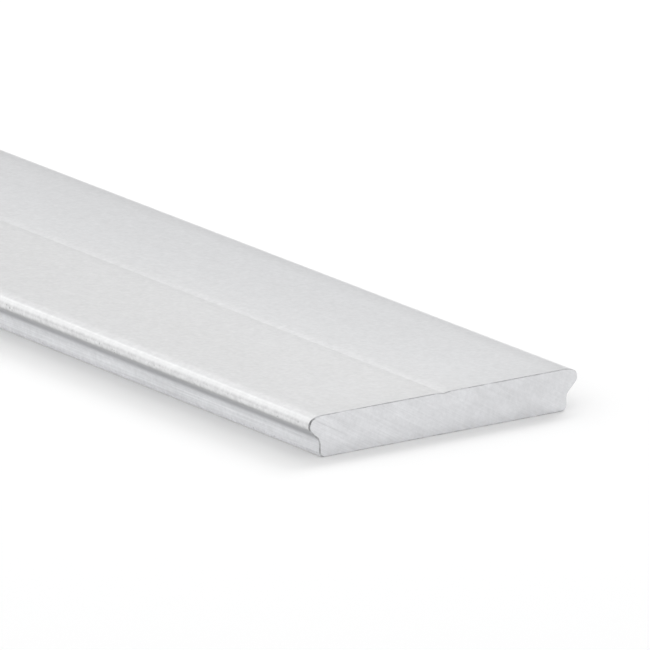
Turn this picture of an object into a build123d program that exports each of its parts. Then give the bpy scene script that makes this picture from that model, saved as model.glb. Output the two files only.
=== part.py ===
from build123d import *
import math
import os

# A solid flat bar of extruded aluminium, in millimetres.
# X runs along the bar, Y across it and Z up. The origin is the middle of the underside.

# Driving dimensions
BAR_LENGTH = 1000.0
BAR_WIDTH = 30.0
BAR_THICKNESS = 4.0

# Lip along each long edge: a broad shoulder, a tight nose and a sloping underside.
# The slope is in degrees from level, and the drop is from the top face to the nose's crown.
LIP_OVERHANG = 1.2
NOSE_RADIUS = 0.75
NOSE_CROWN_DROP = 0.15
SHOULDER_RADIUS = 2.5
UNDERSIDE_SLOPE = 45.0

# Foot under the lips: a cove that runs up into each lip, and rounded bottom edges
COVE_RADIUS = 1.0
FOOT_EDGE_RADIUS = 0.55

# Centre mark along the top face: two gently rounded flanks that meet in a fine line
MARK_WIDTH = 2.4
MARK_FLANK_RADIUS = 7.0


def nose_centre():
    """The nose reaches the full width of the bar, a little below the top face."""
    return Vector(BAR_WIDTH / 2 - NOSE_RADIUS, BAR_THICKNESS - NOSE_CROWN_DROP - NOSE_RADIUS)


def shoulder_centre(nose):
    """The shoulder leaves the top face level and runs into the nose with no corner."""
    rise = SHOULDER_RADIUS - NOSE_RADIUS - NOSE_CROWN_DROP
    reach = math.sqrt((SHOULDER_RADIUS - NOSE_RADIUS) ** 2 - rise ** 2)
    return Vector(nose.X - reach, BAR_THICKNESS - SHOULDER_RADIUS)


def cove_centre(nose):
    """The sloping underside is tangent to the nose above it and to the cove below it."""
    slope = math.radians(UNDERSIDE_SLOPE)
    cove_y = BAR_WIDTH / 2 - LIP_OVERHANG + COVE_RADIUS
    drop = (NOSE_RADIUS + COVE_RADIUS - (cove_y - nose.X) * math.sin(slope)) / math.cos(slope)
    return Vector(cove_y, nose.Y - drop)


def foot_edge_centre():
    """The rounded bottom edge ends on the foot's side and on the underside."""
    foot_side = BAR_WIDTH / 2 - LIP_OVERHANG
    return Vector(foot_side - FOOT_EDGE_RADIUS, FOOT_EDGE_RADIUS)


def mark_flank_centre():
    """The flank leaves the top face level and dips towards the middle of the bar."""
    return Vector(MARK_WIDTH / 2, BAR_THICKNESS - MARK_FLANK_RADIUS)


def draw_half_outline():
    """Draw the +Y half of the section, from the mark round to the middle of the underside."""
    nose = nose_centre()
    shoulder = shoulder_centre(nose)
    meeting = math.degrees(math.atan2(nose.Y - shoulder.Y, nose.X - shoulder.X))
    underside = UNDERSIDE_SLOPE - 90.0
    flank_turn = math.degrees(math.asin(MARK_WIDTH / 2 / MARK_FLANK_RADIUS))

    flank = CenterArc(mark_flank_centre(), MARK_FLANK_RADIUS, 90.0 + flank_turn, -flank_turn)
    shoulder_round = CenterArc(shoulder, SHOULDER_RADIUS, 90.0, meeting - 90.0)
    Line(flank @ 1, shoulder_round @ 0)
    nose_round = CenterArc(nose, NOSE_RADIUS, meeting, underside - meeting)
    cove = CenterArc(cove_centre(nose), COVE_RADIUS, underside + 180.0, -underside)
    Line(nose_round @ 1, cove @ 0)
    foot_edge = CenterArc(foot_edge_centre(), FOOT_EDGE_RADIUS, 0.0, -90.0)
    Line(cove @ 1, foot_edge @ 0)
    Line(foot_edge @ 1, (0, 0))


def extruded_bar():
    """The whole bar, from one sawn end to the other."""
    with BuildPart() as bar:
        with BuildSketch(Plane.YZ):
            with BuildLine():
                draw_half_outline()
                mirror(about=Plane.YZ)
            make_face()
        extrude(amount=BAR_LENGTH / 2, both=True)
    return bar.part


os.makedirs("parts", exist_ok=True)
export_step(extruded_bar(), "parts/extruded_bar.step")
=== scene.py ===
import math

import bpy
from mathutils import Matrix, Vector


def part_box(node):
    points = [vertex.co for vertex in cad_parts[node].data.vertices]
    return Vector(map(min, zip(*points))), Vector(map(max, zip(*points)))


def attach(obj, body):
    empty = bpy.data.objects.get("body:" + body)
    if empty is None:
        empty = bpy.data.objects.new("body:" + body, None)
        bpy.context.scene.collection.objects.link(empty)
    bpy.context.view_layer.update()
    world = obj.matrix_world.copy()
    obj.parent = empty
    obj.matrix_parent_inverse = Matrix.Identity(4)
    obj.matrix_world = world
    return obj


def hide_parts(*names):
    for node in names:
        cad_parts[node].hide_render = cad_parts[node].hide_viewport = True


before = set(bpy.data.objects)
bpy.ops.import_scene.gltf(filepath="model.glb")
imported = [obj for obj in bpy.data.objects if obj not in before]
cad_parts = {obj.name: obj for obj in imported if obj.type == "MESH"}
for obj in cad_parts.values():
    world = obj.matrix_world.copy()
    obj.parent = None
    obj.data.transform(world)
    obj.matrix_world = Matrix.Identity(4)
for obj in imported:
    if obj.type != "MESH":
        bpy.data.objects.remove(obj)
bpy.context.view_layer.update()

NODE = "extruded_bar"
BODY = "root"
MM = 0.001

# Overall sizes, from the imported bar
LOW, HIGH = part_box(NODE)
BAR_LENGTH = HIGH.x - LOW.x
BAR_WIDTH = HIGH.y - LOW.y
BAR_THICKNESS = HIGH.z - LOW.z

# The die's rounds, as in the bar's own drawing
LIP_OVERHANG = 1.2 * MM
NOSE_RADIUS = 0.75 * MM
NOSE_CROWN_DROP = 0.15 * MM
SHOULDER_RADIUS = 2.5 * MM
UNDERSIDE_SLOPE = math.radians(45.0)
COVE_RADIUS = 1.0 * MM
FOOT_EDGE_RADIUS = 0.55 * MM
MARK_HALF_WIDTH = 1.2 * MM
MARK_FLANK_RADIUS = 7.0 * MM

# How finely the section and the length are divided
FLAT_STEP = 0.4 * MM
ROUND_STEPS = 10
NOSE_STEPS = 28
FOOT_STEPS = 12
SLICES = 90
MERGE_DISTANCE = 0.001 * MM
SHARP_FOLD = math.radians(15.0)

# How squarely a face looks along the bar: up to the first it is skin, from the second sawn end
SKIN_LIMIT = 0.1
END_LIMIT = 0.99

# The broken edge round each sawn end, which is wider where the saw came out
RIM_DEPTH = 0.07 * MM
RIM_UNEVENNESS = 0.55
RIM_WAVE = 0.9 * MM
RIM_NOISE_GAIN = 4.0
RIM_LEAST_DARKNESS = 0.45
RIM_SEED = 4.0
SAW_EXIT = (0.0, -1.0, -0.1)
EXIT_GROWTH = 1.1

# A fine scratch across each sawn end, in Y and Z
SCRATCH_START = (-14.35 * MM, 3.65 * MM)
SCRATCH_WAY = (0.875, -0.485)
SCRATCH_LENGTH = 4.4 * MM

# Finishes. The satin's roughness goes with its grain, from the first to the second
SATIN_NEUTRAL = (0.731, 0.731, 0.731, 1.0)
SATIN_COOL = (0.722, 0.728, 0.743, 1.0)
SATIN_ROUGHNESS = (0.28, 0.31)
SAWN_COLOUR = (0.648, 0.652, 0.666)
SAWN_ROUGHNESS = 0.42
SAW_MARK_SLANT = math.radians(30.0)
RIM_TONE = 0.52
DARKEST_RIM = 0.1

# Camera, from the photograph's lines
CAMERA_AIM = Vector((HIGH.x - 30.68 * MM, 8.04 * MM, 2.03 * MM))
CAMERA_AZIMUTH = math.radians(55.31)
CAMERA_ELEVATION = math.radians(15.60)
CAMERA_DISTANCE = 1.402
CAMERA_LENS = 833.4
CAMERA_SENSOR = 36.0

# Light: shares of white, and how they change from the horizon up to straight overhead
WORLD_ON_FLOOR = 0.61
SKY_IN_METAL = 0.965
HORIZON_IN_METAL = 0.58
HORIZON_FALL = 3.0
ZENITH_START = 0.6
ZENITH_FULL = 0.95
ZENITH_SHARE = 0.65

# Floor. Rays from the bar's underside, which are shorter than THROUGH_FLOOR, pass through it
FLOOR_HALF_SIDE = 20.0
FLOOR_GAP = 0.01 * MM
FLOOR_COLOUR = 0.95
FLOOR_LIFT = 0.19
THROUGH_FLOOR = 0.04 * MM


# The section

def arc(centre, radius, start, end, steps, hollow=False):
    """Points and outward directions along an arc. Round a hollow one the metal lies outside."""
    points = []
    for step in range(steps + 1):
        angle = start + (end - start) * step / steps
        outward = Vector((math.cos(angle), math.sin(angle)))
        points.append((centre + outward * radius, -outward if hollow else outward))
    return points


def flat(start, end, outward):
    """Points along a flat, between its two ends and without them."""
    steps = max(1, round((end - start).length / FLAT_STEP))
    return [(start.lerp(end, step / steps), outward) for step in range(1, steps)]


def half_section():
    """The +Y half of the section from the middle of the top to the middle of the underside."""
    quarter = math.pi / 2
    nose = Vector((BAR_WIDTH / 2 - NOSE_RADIUS, BAR_THICKNESS - NOSE_CROWN_DROP - NOSE_RADIUS))
    rise = SHOULDER_RADIUS - NOSE_RADIUS - NOSE_CROWN_DROP
    reach = math.sqrt((SHOULDER_RADIUS - NOSE_RADIUS) ** 2 - rise ** 2)
    shoulder = Vector((nose.x - reach, BAR_THICKNESS - SHOULDER_RADIUS))
    meeting = math.atan2(rise, reach)
    foot_side = BAR_WIDTH / 2 - LIP_OVERHANG
    cove_across = foot_side + COVE_RADIUS
    drop = NOSE_RADIUS + COVE_RADIUS - (cove_across - nose.x) * math.sin(UNDERSIDE_SLOPE)
    cove = Vector((cove_across, nose.y - drop / math.cos(UNDERSIDE_SLOPE)))
    foot_edge = Vector((foot_side - FOOT_EDGE_RADIUS, FOOT_EDGE_RADIUS))
    flank = Vector((MARK_HALF_WIDTH, BAR_THICKNESS - MARK_FLANK_RADIUS))
    flank_turn = math.asin(MARK_HALF_WIDTH / MARK_FLANK_RADIUS)
    underside = UNDERSIDE_SLOPE - quarter

    middle_of_mark, *flank_round = arc(flank, MARK_FLANK_RADIUS, quarter + flank_turn, quarter,
                                       ROUND_STEPS)
    shoulder_round = arc(shoulder, SHOULDER_RADIUS, quarter, meeting, ROUND_STEPS)
    nose_round = arc(nose, NOSE_RADIUS, meeting, underside, NOSE_STEPS)
    cove_round = arc(cove, COVE_RADIUS, underside + math.pi, math.pi, ROUND_STEPS, hollow=True)
    foot_round = arc(foot_edge, FOOT_EDGE_RADIUS, 0.0, -quarter, FOOT_STEPS)
    middle_of_underside = (Vector((0.0, 0.0)), Vector((0.0, -1.0)))

    points = [(middle_of_mark[0], Vector((0.0, 1.0)))] + flank_round
    points += flat(flank_round[-1][0], shoulder_round[0][0], Vector((0.0, 1.0)))
    points += shoulder_round + nose_round[1:]
    points += flat(nose_round[-1][0], cove_round[0][0], nose_round[-1][1])
    points += cove_round
    points += flat(cove_round[-1][0], foot_round[0][0], Vector((1.0, 0.0)))
    points += foot_round
    points += flat(foot_round[-1][0], middle_of_underside[0], Vector((0.0, -1.0)))
    points.append(middle_of_underside)
    return points


def section_mesh():
    """The whole section as one face that looks along +X. Each point keeps its outward direction."""
    plus_side = half_section()
    minus_side = [(Vector((-point.x, point.y)), Vector((-out.x, out.y)))
                  for point, out in plus_side]
    outline = minus_side + plus_side[-2:0:-1]
    mesh = bpy.data.meshes.new("bar_section")
    corners = [(0.0, point.x, point.y) for point, _ in outline]
    mesh.from_pydata(corners, [], [range(len(corners))])
    outward = mesh.attributes.new("outward", "FLOAT_VECTOR", "POINT")
    for stored, (_, out) in zip(outward.data, outline):
        stored.vector = (0.0, out.x, out.y)
    return mesh


# Node helpers

def add(tree, kind, inputs=None, **settings):
    """Place a node. Each input takes a plain value, or the output that feeds it."""
    node = tree.nodes.new(kind)
    for name, value in settings.items():
        setattr(node, name, value)
    for key, value in (inputs or {}).items():
        if isinstance(value, bpy.types.NodeSocket):
            tree.links.new(value, node.inputs[key])
        else:
            node.inputs[key].default_value = value
    return node


def calc(tree, operation, *values):
    """A Math node, given by its operation and its values."""
    return add(tree, "ShaderNodeMath", dict(enumerate(values)), operation=operation).outputs[0]


def vector_calc(tree, operation, *values):
    """A Vector Math node that puts out a vector."""
    node = add(tree, "ShaderNodeVectorMath", dict(enumerate(values)), operation=operation)
    return node.outputs["Vector"]


def ramp(tree, value, low, high, to_low=0.0, to_high=1.0):
    """The value's place between low and high, eased, and put between the two new ends."""
    inputs = {"Value": value, "From Min": low, "From Max": high,
              "To Min": to_low, "To Max": to_high}
    node = add(tree, "ShaderNodeMapRange", inputs, interpolation_type="SMOOTHSTEP")
    return node.outputs["Result"]


def band(tree, value, start, full, fade, end):
    """1 from full to fade, and eased down to 0 at start and at end. All four are in millimetres."""
    return calc(tree, "MULTIPLY", ramp(tree, value, start * MM, full * MM),
                ramp(tree, value, end * MM, fade * MM))


def mix(tree, factor, first, second):
    """A plain value that goes from the first to the second with the factor."""
    inputs = {"Factor": factor, "A": first, "B": second}
    return add(tree, "ShaderNodeMix", inputs, data_type="FLOAT").outputs[0]


def scaled(tree, vector, factor):
    """A vector or a colour times a plain value."""
    node = add(tree, "ShaderNodeVectorMath", {0: vector, "Scale": factor}, operation="SCALE")
    return node.outputs["Vector"]


def dot(tree, first, second):
    """The dot product of two vectors."""
    node = add(tree, "ShaderNodeVectorMath", {0: first, 1: second}, operation="DOT_PRODUCT")
    return node.outputs["Value"]


def product(tree, first, *others):
    """All the values multiplied together."""
    for other in others:
        first = calc(tree, "MULTIPLY", first, other)
    return first


def dimmed(tree, mask, share):
    """A tone of 1 that loses this share of itself where the mask is 1."""
    return calc(tree, "MULTIPLY_ADD", mask, -share, 1.0)


def new_group(kind, name, inputs, outputs):
    """A node group with named sockets. An input is its name, its kind and its value, if any."""
    group = bpy.data.node_groups.new(name, kind)
    for socket_name, socket_kind, *value in inputs:
        socket = group.interface.new_socket(socket_name, in_out="INPUT", socket_type=socket_kind)
        if value:
            socket.default_value = value[0]
    for socket_name, socket_kind in outputs:
        group.interface.new_socket(socket_name, in_out="OUTPUT", socket_type=socket_kind)
    return group, group.nodes.new("NodeGroupInput").outputs, group.nodes.new("NodeGroupOutput")


# The bar's shape

def bar_tree():
    """Extrudes the section in slices, closes both ends, and breaks the sawn edges unevenly."""
    tree, given, result = new_group(
        "GeometryNodeTree", "Extruded bar",
        [
            ("Section", "NodeSocketGeometry"),
            ("Length", "NodeSocketFloat", 1.0),
            ("Slices", "NodeSocketInt", 10),
            ("Rim depth", "NodeSocketFloat", 0.0001),
            ("Rim unevenness", "NodeSocketFloat", 0.5),
            ("Rim seed", "NodeSocketFloat", 0.0),
            ("Saw exit", "NodeSocketVector"),
            ("Exit growth", "NodeSocketFloat", 0.0),
            ("Skin", "NodeSocketMaterial"),
            ("Sawn metal", "NodeSocketMaterial"),
        ],
        [("Bar", "NodeSocketGeometry")],
    )
    length, slices, rim_depth = given["Length"], given["Slices"], given["Rim depth"]
    half_length = calc(tree, "MULTIPLY", length, 0.5)

    normal = add(tree, "GeometryNodeInputNormal").outputs[0]
    normal_along = add(tree, "ShaderNodeSeparateXYZ", {0: normal}).outputs["X"]
    faces_along = calc(tree, "ABSOLUTE", normal_along)
    place = add(tree, "GeometryNodeInputPosition").outputs[0]
    place_along = add(tree, "ShaderNodeSeparateXYZ", {0: place}).outputs["X"]

    # Slices of one length, and a short one as deep as the rim at each end
    start = add(tree, "ShaderNodeCombineXYZ", {"X": calc(tree, "MULTIPLY", half_length, -1.0)})
    first_face = add(tree, "GeometryNodeSetPosition",
                     {"Geometry": given["Section"], "Offset": start.outputs[0]})
    back_face = add(tree, "GeometryNodeFlipFaces", {"Mesh": first_face.outputs[0]})

    steps = calc(tree, "ADD", slices, 2.0)
    loop_in = tree.nodes.new("GeometryNodeRepeatInput")
    loop_out = tree.nodes.new("GeometryNodeRepeatOutput")
    loop_in.pair_with_output(loop_out)
    tree.links.new(steps, loop_in.inputs["Iterations"])
    tree.links.new(first_face.outputs[0], loop_in.inputs["Geometry"])
    middle_steps = calc(tree, "COMPARE", loop_in.outputs["Iteration"],
                        calc(tree, "DIVIDE", calc(tree, "ADD", slices, 1.0), 2.0),
                        calc(tree, "DIVIDE", slices, 2.0))
    between_rims = calc(tree, "MULTIPLY_ADD", rim_depth, -2.0, length)
    step_length = add(tree, "GeometryNodeSwitch",
                      {"Switch": middle_steps, "False": rim_depth,
                       "True": calc(tree, "DIVIDE", between_rims, slices)}, input_type="FLOAT")
    step = add(tree, "ShaderNodeCombineXYZ", {"X": step_length.outputs[0]})
    front = calc(tree, "GREATER_THAN", normal_along, END_LIMIT)
    pushed = add(tree, "GeometryNodeExtrudeMesh",
                 {"Mesh": loop_in.outputs["Geometry"], "Selection": front,
                  "Offset": step.outputs[0], "Offset Scale": 1.0, "Individual": False},
                 mode="FACES")
    tree.links.new(pushed.outputs["Mesh"], loop_out.inputs["Geometry"])

    joined = add(tree, "GeometryNodeJoinGeometry", {0: back_face.outputs[0]})
    tree.links.new(loop_out.outputs["Geometry"], joined.inputs[0])
    closed = add(tree, "GeometryNodeMergeByDistance",
                 {"Geometry": joined.outputs[0], "Distance": MERGE_DISTANCE})

    # The edge of each end drawn in, unevenly, and more where the saw came out
    at_end = calc(tree, "GREATER_THAN", calc(tree, "ABSOLUTE", place_along),
                  calc(tree, "MULTIPLY_ADD", rim_depth, -0.5, half_length))
    noise = add(tree, "ShaderNodeTexNoise",
                {"Vector": place, "W": given["Rim seed"], "Scale": 1.0 / RIM_WAVE, "Detail": 3.0},
                noise_dimensions="4D")
    uneven = calc(tree, "MULTIPLY", calc(tree, "SUBTRACT", noise.outputs[0], 0.5), RIM_NOISE_GAIN)
    outward = add(tree, "GeometryNodeInputNamedAttribute", {"Name": "outward"},
                  data_type="FLOAT_VECTOR")
    exit_side = ramp(tree, dot(tree, outward.outputs[0], given["Saw exit"]), -0.2, 1.0)
    growth = calc(tree, "MULTIPLY_ADD", exit_side, given["Exit growth"], 1.0)
    inset = product(tree, rim_depth, growth,
                    calc(tree, "MULTIPLY_ADD", uneven, given["Rim unevenness"], 1.0))
    inward = scaled(tree, outward.outputs[0], calc(tree, "MULTIPLY", inset, -1.0))
    broken = add(tree, "GeometryNodeSetPosition",
                 {"Geometry": closed.outputs[0], "Selection": at_end, "Offset": inward})

    # How dark the rim is, for its material, then the creases and the two materials
    on_rim = calc(tree, "COMPARE", faces_along, (END_LIMIT + SKIN_LIMIT) / 2,
                  (END_LIMIT - SKIN_LIMIT) / 2)
    rim_darkness = calc(tree, "MULTIPLY", on_rim, mix(tree, exit_side, RIM_LEAST_DARKNESS, 1.0))
    rimmed = add(tree, "GeometryNodeStoreNamedAttribute",
                 {"Geometry": broken.outputs[0], "Name": "rim", "Value": rim_darkness},
                 data_type="FLOAT", domain="FACE")
    plain = add(tree, "GeometryNodeRemoveAttribute",
                {"Geometry": rimmed.outputs[0], "Name": "outward"})
    smooth = add(tree, "GeometryNodeSetShadeSmooth",
                 {"Geometry": plain.outputs[0],
                  "Shade Smooth": calc(tree, "LESS_THAN", faces_along, SKIN_LIMIT)},
                 domain="FACE")
    fold = add(tree, "GeometryNodeInputMeshEdgeAngle").outputs["Unsigned Angle"]
    creased = add(tree, "GeometryNodeSetShadeSmooth",
                  {"Geometry": smooth.outputs[0],
                   "Shade Smooth": calc(tree, "LESS_THAN", fold, SHARP_FOLD)},
                  domain="EDGE")
    real = add(tree, "GeometryNodeRealizeInstances", {"Geometry": creased.outputs[0]})
    skinned = add(tree, "GeometryNodeSetMaterial",
                  {"Geometry": real.outputs[0], "Material": given["Skin"]})
    finished = add(tree, "GeometryNodeSetMaterial",
                   {"Geometry": skinned.outputs[0], "Material": given["Sawn metal"],
                    "Selection": calc(tree, "GREATER_THAN", faces_along, SKIN_LIMIT)})
    tree.links.new(finished.outputs[0], result.inputs["Bar"])
    return tree


def make_bar(skin, sawn_metal):
    """The bar as one closed mesh, made by its node tree."""
    bar = bpy.data.objects.new("bar", section_mesh())
    bpy.context.scene.collection.objects.link(bar)
    shape = bar.modifiers.new("shape", "NODES")
    shape.node_group = bar_tree()
    values = {
        "Length": BAR_LENGTH,
        "Slices": SLICES,
        "Rim depth": RIM_DEPTH,
        "Rim unevenness": RIM_UNEVENNESS,
        "Rim seed": RIM_SEED,
        "Saw exit": SAW_EXIT,
        "Exit growth": EXIT_GROWTH,
        "Skin": skin,
        "Sawn metal": sawn_metal,
    }
    for socket in shape.node_group.interface.items_tree:
        if socket.in_out == "INPUT" and socket.name in values:
            shape[socket.identifier] = values[socket.name]
    section = bar.data
    made = bar.evaluated_get(bpy.context.evaluated_depsgraph_get())
    bar.data = bpy.data.meshes.new_from_object(made)
    bar.modifiers.remove(shape)
    bpy.data.meshes.remove(section)
    bar.data.name = "bar"
    return bar


# Effects that both finishes use

def grain_group():
    """Fine uneven grain: a tone round 1 and a height from 0 to 1."""
    tree, given, result = new_group(
        "ShaderNodeTree", "Fine grain",
        [
            ("Vector", "NodeSocketVector"),
            ("Size", "NodeSocketFloat", 0.0002),
            ("Stretch", "NodeSocketVector", (1.0, 1.0, 1.0)),
            ("Contrast", "NodeSocketFloat", 0.1),
            ("Detail", "NodeSocketFloat", 2.0),
        ],
        [("Tone", "NodeSocketFloat"), ("Height", "NodeSocketFloat")],
    )
    stretched = vector_calc(tree, "DIVIDE", given["Vector"], given["Stretch"])
    noise = add(tree, "ShaderNodeTexNoise",
                {"Vector": stretched, "Scale": calc(tree, "DIVIDE", 1.0, given["Size"]),
                 "Detail": given["Detail"], "Roughness": 0.6})
    swing = calc(tree, "SUBTRACT", noise.outputs[0], 0.5)
    tone = calc(tree, "MULTIPLY_ADD", swing, given["Contrast"], 1.0)
    tree.links.new(tone, result.inputs["Tone"])
    tree.links.new(noise.outputs[0], result.inputs["Height"])
    return tree


def pits_group():
    """Small scattered pits: a mask that is 1 in each pit."""
    tree, given, result = new_group(
        "ShaderNodeTree", "Scattered pits",
        [
            ("Vector", "NodeSocketVector"),
            ("Spacing", "NodeSocketFloat", 0.0005),
            ("Radius", "NodeSocketFloat", 0.2),
            ("Share", "NodeSocketFloat", 0.3),
        ],
        [("Mask", "NodeSocketFloat")],
    )
    cells = add(tree, "ShaderNodeTexVoronoi",
                {"Vector": given["Vector"], "Scale": calc(tree, "DIVIDE", 1.0, given["Spacing"])})
    chance = add(tree, "ShaderNodeSeparateColor", {0: cells.outputs["Color"]})
    chosen = calc(tree, "LESS_THAN", chance.outputs[0], given["Share"])
    least_size, flat_share = 0.4, 0.4
    size = calc(tree, "MULTIPLY", given["Radius"], calc(tree, "ADD", chance.outputs[1], least_size))
    inside = ramp(tree, cells.outputs["Distance"], size, calc(tree, "MULTIPLY", size, flat_share))
    tree.links.new(calc(tree, "MULTIPLY", inside, chosen), result.inputs["Mask"])
    return tree


def grouped(tree, group, **inputs):
    """Place a node group. Each value goes by its socket's name, in small letters."""
    named = {name.capitalize(): value for name, value in inputs.items()}
    return add(tree, "ShaderNodeGroup", named, node_tree=group)


def new_material(name):
    """A material with an empty tree, its metal shader and the object's coordinates."""
    material = bpy.data.materials.new(name)
    material.use_nodes = True
    tree = material.node_tree
    tree.nodes.clear()
    shader = add(tree, "ShaderNodeBsdfPrincipled", {"Metallic": 1.0})
    add(tree, "ShaderNodeOutputMaterial", {"Surface": shader.outputs[0]})
    place = add(tree, "ShaderNodeTexCoord").outputs["Object"]
    return material, tree, shader, place


def satin_skin(grain, pits):
    """Satin anodised: fine grain, die lines, handling marks along the edges, and painted shade."""
    material, tree, shader, place = new_material("satin_anodised_skin")
    axes = add(tree, "ShaderNodeSeparateXYZ", {0: place}).outputs
    off_middle, height = calc(tree, "ABSOLUTE", axes["Y"]), axes["Z"]

    # The parts of the section, from the middle line outwards and from the underside up
    on_side = ramp(tree, off_middle, 13.5 * MM, 13.75 * MM)
    on_wall = product(tree, on_side, band(tree, height, 0.1, 0.5, 1.4, 1.9))
    # Painted shade in the undercut under the lip, darkened where its shade falls
    painted_undercut_shade = product(tree, on_side, band(tree, height, 1.65, 2.25, 2.6, 3.0))
    on_nose = product(tree, ramp(tree, off_middle, 14.3 * MM, 14.8 * MM),
                      band(tree, height, 2.5, 2.8, 3.2, 3.6))
    on_foot_edge = product(tree, ramp(tree, off_middle, 13.1 * MM, 13.4 * MM),
                           ramp(tree, height, 0.6 * MM, 0.3 * MM))
    below_nose = product(tree, on_side, ramp(tree, height, 2.8 * MM, 2.5 * MM))
    below_top = product(tree, on_side, ramp(tree, height, 3.7 * MM, 3.1 * MM))
    handled = calc(tree, "MAXIMUM", on_nose, on_foot_edge)

    # The finish itself, from fine to broad, and the pits that handling left
    speckle = grouped(tree, grain, vector=place, size=0.45 * MM, contrast=0.13, detail=2.0)
    patches = grouped(tree, grain, vector=place, size=0.9 * MM, contrast=0.13, detail=2.0)
    rubbed = mix(tree, handled, calc(tree, "MULTIPLY", below_top, 0.16), 0.5)
    mottle = grouped(tree, grain, vector=place, size=0.42 * MM, detail=3.0, contrast=rubbed)
    die_lines = grouped(tree, grain, vector=place, size=0.16 * MM, stretch=(60.0, 1.0, 1.0),
                        contrast=calc(tree, "MULTIPLY_ADD", on_wall, 0.40, 0.04))
    clouds = grouped(tree, grain, vector=place, size=9.0 * MM, stretch=(4.0, 1.0, 1.0),
                     contrast=0.04)
    clusters = grouped(tree, grain, vector=place, size=2.0 * MM, stretch=(2.0, 1.0, 1.0))
    scattered = grouped(tree, pits, vector=place, spacing=0.30 * MM, radius=0.36, share=0.40)
    pit_mask = product(tree, scattered.outputs["Mask"], handled,
                       ramp(tree, clusters.outputs["Height"], 0.45, 0.6, 0.2, 1.0))

    # Painted shade: darker towards the far side, towards the sawn ends and in the undercut
    far_shade = product(tree, ramp(tree, axes["Y"], 1.0 * MM, 13.0 * MM, 1.0, 0.94),
                        ramp(tree, axes["Y"], 11.5 * MM, 14.2 * MM, 1.0, 0.92))
    off_centre = calc(tree, "ABSOLUTE", axes["X"])
    end_shade = ramp(tree, off_centre, HIGH.x - 6.0 * MM, HIGH.x, 1.0, 0.965)
    tone = product(tree, speckle.outputs["Tone"], patches.outputs["Tone"], mottle.outputs["Tone"],
                   die_lines.outputs["Tone"], clouds.outputs["Tone"], far_shade, end_shade,
                   dimmed(tree, painted_undercut_shade, 0.44), dimmed(tree, on_nose, 0.13),
                   dimmed(tree, pit_mask, 0.4))

    # Slightly bluer in cloudy patches, with a painted cool shade on the far side and under the lip
    cool_side = ramp(tree, axes["Y"], -3.0 * MM, 6.0 * MM, 0.0, 0.5)
    cool = calc(tree, "MULTIPLY_ADD", clouds.outputs["Height"], 0.5,
                calc(tree, "MAXIMUM", cool_side, below_nose))
    colour = add(tree, "ShaderNodeMix", {"Factor": cool, "A": SATIN_NEUTRAL, "B": SATIN_COOL},
                 data_type="RGBA")
    tree.links.new(scaled(tree, colour.outputs[2], tone), shader.inputs["Base Color"])
    rough = mix(tree, speckle.outputs["Height"], *SATIN_ROUGHNESS)
    tree.links.new(rough, shader.inputs["Roughness"])

    relief = calc(tree, "ADD", calc(tree, "MULTIPLY", speckle.outputs["Height"], 0.6),
                  calc(tree, "MULTIPLY", die_lines.outputs["Height"], 0.4))
    relief = calc(tree, "SUBTRACT", relief, pit_mask)
    bump = add(tree, "ShaderNodeBump", {"Height": relief, "Strength": 0.25, "Distance": 0.01 * MM})
    tree.links.new(bump.outputs[0], shader.inputs["Normal"])
    return material


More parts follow.
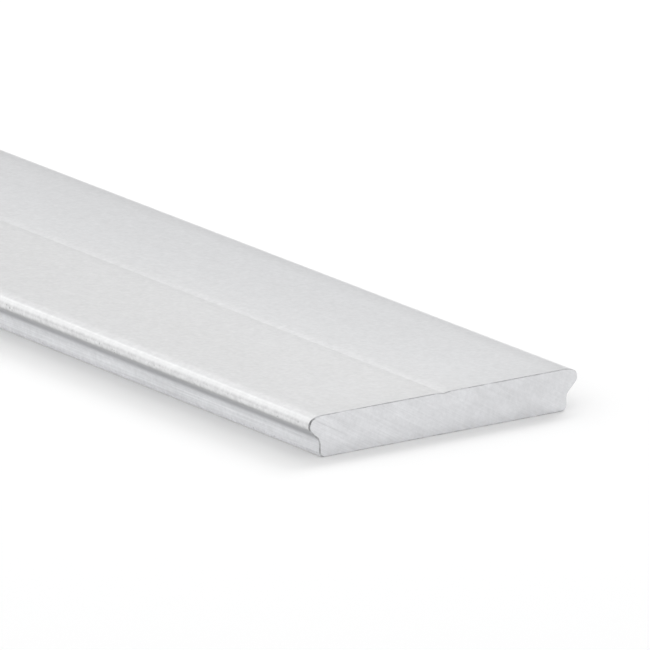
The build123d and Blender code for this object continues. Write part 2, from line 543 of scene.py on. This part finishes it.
def sawn_metal(grain, pits):
    """Bare sawn aluminium: slanting saw marks, soft blotches and a darker broken rim."""
    material, tree, shader, place = new_material("sawn_end")
    turned = add(tree, "ShaderNodeMapping",
                 {"Vector": place, "Rotation": (SAW_MARK_SLANT, 0.0, 0.0)})

    axes = add(tree, "ShaderNodeSeparateXYZ", {0: place}).outputs
    saw_depth = ramp(tree, axes["Y"], -13.0 * MM, 0.0, 0.30, 0.17)
    saw_marks = grouped(tree, grain, vector=turned.outputs[0], size=0.14 * MM,
                        stretch=(1.0, 40.0, 1.0), contrast=saw_depth)
    speckle = grouped(tree, grain, vector=place, size=0.35 * MM, contrast=0.22, detail=3.0)
    blotches = grouped(tree, grain, vector=place, size=1.5 * MM, contrast=0.18, detail=3.0)
    few_pits = grouped(tree, pits, vector=place, spacing=0.6 * MM, radius=0.2, share=0.15)

    # The dark rim, which fades in some stretches but not where it is darkest, on the saw's exit
    # side
    worn = add(tree, "ShaderNodeAttribute", attribute_name="rim", attribute_type="GEOMETRY")
    rim = worn.outputs["Fac"]
    stretches = grouped(tree, grain, vector=place, size=2.2 * MM, detail=3.0).outputs["Height"]
    kept = calc(tree, "MAXIMUM", ramp(tree, stretches, 0.40, 0.48, 0.3, 1.1),
                ramp(tree, rim, 0.55, 0.75))
    rim_grain = grouped(tree, grain, vector=place, size=0.6 * MM, contrast=2.4, detail=3.0)
    rim_tone = calc(tree, "MULTIPLY", rim_grain.outputs["Tone"], RIM_TONE)
    rim_tone = mix(tree, calc(tree, "MULTIPLY", rim, kept), 1.0,
                   calc(tree, "MAXIMUM", rim_tone, DARKEST_RIM))

    # The scratch, by how far a point lies along it and beside it
    from_start = vector_calc(tree, "SUBTRACT", place, (0.0, *SCRATCH_START))
    along = dot(tree, from_start, (0.0, *SCRATCH_WAY))
    beside = calc(tree, "ABSOLUTE", dot(tree, from_start, (0.0, SCRATCH_WAY[1], -SCRATCH_WAY[0])))
    scratch = product(tree, ramp(tree, beside, 0.06 * MM, 0.01 * MM),
                      ramp(tree, along, 0.0, 0.5 * MM),
                      ramp(tree, along, SCRATCH_LENGTH, 0.5 * SCRATCH_LENGTH))

    # Painted shade towards the far side, and painted light that brightens the bottom
    painted_shade_and_light = product(tree, ramp(tree, axes["Y"], -4.0 * MM, 15.0 * MM, 1.0, 0.955),
                    ramp(tree, axes["Z"], 2.5 * MM, 0.0, 1.0, 1.07))
    tone = product(tree, saw_marks.outputs["Tone"], speckle.outputs["Tone"],
                   blotches.outputs["Tone"], painted_shade_and_light, rim_tone, dimmed(tree, scratch, 0.12),
                   dimmed(tree, few_pits.outputs["Mask"], 0.2))
    tree.links.new(scaled(tree, SAWN_COLOUR, tone), shader.inputs["Base Color"])
    shader.inputs["Roughness"].default_value = SAWN_ROUGHNESS

    bump = add(tree, "ShaderNodeBump",
               {"Height": saw_marks.outputs["Height"], "Strength": 0.3, "Distance": 0.01 * MM})
    tree.links.new(bump.outputs[0], shader.inputs["Normal"])
    return material


# Floor, light and camera

def make_floor():
    """A wide white floor for the bar's shadow, brighter in the metal and clear from below."""
    mesh = bpy.data.meshes.new("floor")
    side = FLOOR_HALF_SIDE
    corners = [(-side, -side), (side, -side), (side, side), (-side, side)]
    mesh.from_pydata([(x, y, LOW.z - FLOOR_GAP) for x, y in corners], [], [range(len(corners))])
    floor = bpy.data.objects.new("floor", mesh)
    bpy.context.scene.collection.objects.link(floor)

    material = bpy.data.materials.new("white_floor")
    material.use_nodes = True
    tree = material.node_tree
    tree.nodes.clear()
    matt = add(tree, "ShaderNodeBsdfDiffuse", {"Color": (FLOOR_COLOUR,) * 3 + (1.0,)})
    rays = add(tree, "ShaderNodeLightPath").outputs
    reflected = calc(tree, "MAXIMUM", rays["Is Glossy Ray"], rays["Is Transmission Ray"])
    lift = add(tree, "ShaderNodeEmission",
               {"Strength": calc(tree, "MULTIPLY", reflected, FLOOR_LIFT)})
    white = add(tree, "ShaderNodeAddShader", {0: matt.outputs[0], 1: lift.outputs[0]})
    clear = add(tree, "ShaderNodeBsdfTransparent")
    short_ray = calc(tree, "LESS_THAN", rays["Ray Length"], THROUGH_FLOOR)
    from_below = add(tree, "ShaderNodeNewGeometry").outputs["Backfacing"]
    unseen = calc(tree, "MAXIMUM", from_below, short_ray)
    surface = add(tree, "ShaderNodeMixShader",
                  {0: unseen, 1: white.outputs[0], 2: clear.outputs[0]})
    add(tree, "ShaderNodeOutputMaterial", {"Surface": surface.outputs[0]})
    mesh.materials.append(material)
    return floor


def light_world():
    """White to the camera, greyer low down and overhead in the metal, and softer on the floor."""
    world = bpy.data.worlds.new("studio")
    world.use_nodes = True
    tree = world.node_tree
    tree.nodes.clear()
    rays = add(tree, "ShaderNodeLightPath").outputs
    direction = add(tree, "ShaderNodeTexCoord").outputs["Generated"]
    rise = add(tree, "ShaderNodeSeparateXYZ", {0: direction}).outputs["Z"]
    level = calc(tree, "SUBTRACT", 1.0, calc(tree, "ABSOLUTE", rise))
    near_horizon = calc(tree, "POWER", level, HORIZON_FALL)
    in_metal = calc(tree, "MULTIPLY", mix(tree, near_horizon, SKY_IN_METAL, HORIZON_IN_METAL),
                    ramp(tree, rise, ZENITH_START, ZENITH_FULL, 1.0, ZENITH_SHARE))
    reflected = calc(tree, "MAXIMUM", rays["Is Glossy Ray"], rays["Is Transmission Ray"])
    strength = mix(tree, reflected, 1.0, in_metal)
    strength = mix(tree, rays["Is Diffuse Ray"], strength, WORLD_ON_FLOOR)
    white = add(tree, "ShaderNodeBackground", {"Color": (1.0, 1.0, 1.0, 1.0), "Strength": strength})
    add(tree, "ShaderNodeOutputWorld", {"Surface": white.outputs[0]})
    world.cycles.sampling_method = "NONE"
    bpy.context.scene.world = world


def hang_softbox(name, place, aim, length, width, radiance):
    """A softbox that faces its aim, with its length level."""
    light = bpy.data.lights.new(name, "AREA")
    light.shape = "RECTANGLE"
    light.size, light.size_y = length, width
    light.energy = radiance * math.pi * length * width
    softbox = bpy.data.objects.new(name, light)
    softbox.visible_camera = False
    softbox.location = place
    softbox.rotation_euler = (Vector(place) - aim).to_track_quat("Z", "Y").to_euler()
    bpy.context.scene.collection.objects.link(softbox)


def hang_softboxes():
    """Two long ones draw the highlight on the lip. Two behind the sawn end give it its shadow."""
    middle = Vector((0.0, 0.0, 0.0))
    sawn_end = Vector((HIGH.x, 0.0, 0.0))
    hang_softbox("ridge", (0.0, -0.02, 0.9), middle, length=2.6, width=0.42, radiance=0.56)
    hang_softbox("viewer_side", (0.0, -0.737, 0.516), middle, length=2.6, width=1.15, radiance=0.40)
    hang_softbox("above", (-0.02, 0.35, 0.79), sawn_end, length=0.4, width=0.4, radiance=2.1)
    hang_softbox("behind", (0.12, 0.68, 0.56), sawn_end, length=0.4, width=0.4, radiance=5.6)


def set_camera():
    """Far off with a long lens, because the photograph's edges run almost parallel."""
    camera = bpy.data.objects.new("camera", bpy.data.cameras.new("camera"))
    level = math.cos(CAMERA_ELEVATION)
    back = Vector((math.sin(CAMERA_AZIMUTH) * level, -math.cos(CAMERA_AZIMUTH) * level,
                   math.sin(CAMERA_ELEVATION)))
    camera.location = CAMERA_AIM + back * CAMERA_DISTANCE
    camera.rotation_euler = (-back).to_track_quat("-Z", "Y").to_euler()
    camera.data.sensor_width = CAMERA_SENSOR
    camera.data.lens = CAMERA_LENS
    camera.data.clip_start, camera.data.clip_end = 0.01, 100.0
    bpy.context.scene.collection.objects.link(camera)
    bpy.context.scene.camera = camera


grain = grain_group()
pits = pits_group()
bar = make_bar(satin_skin(grain, pits), sawn_metal(grain, pits))
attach(bar, BODY)
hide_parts(NODE)
make_floor()

light_world()
hang_softboxes()
set_camera()
bpy.context.scene.view_settings.view_transform = "Standard"
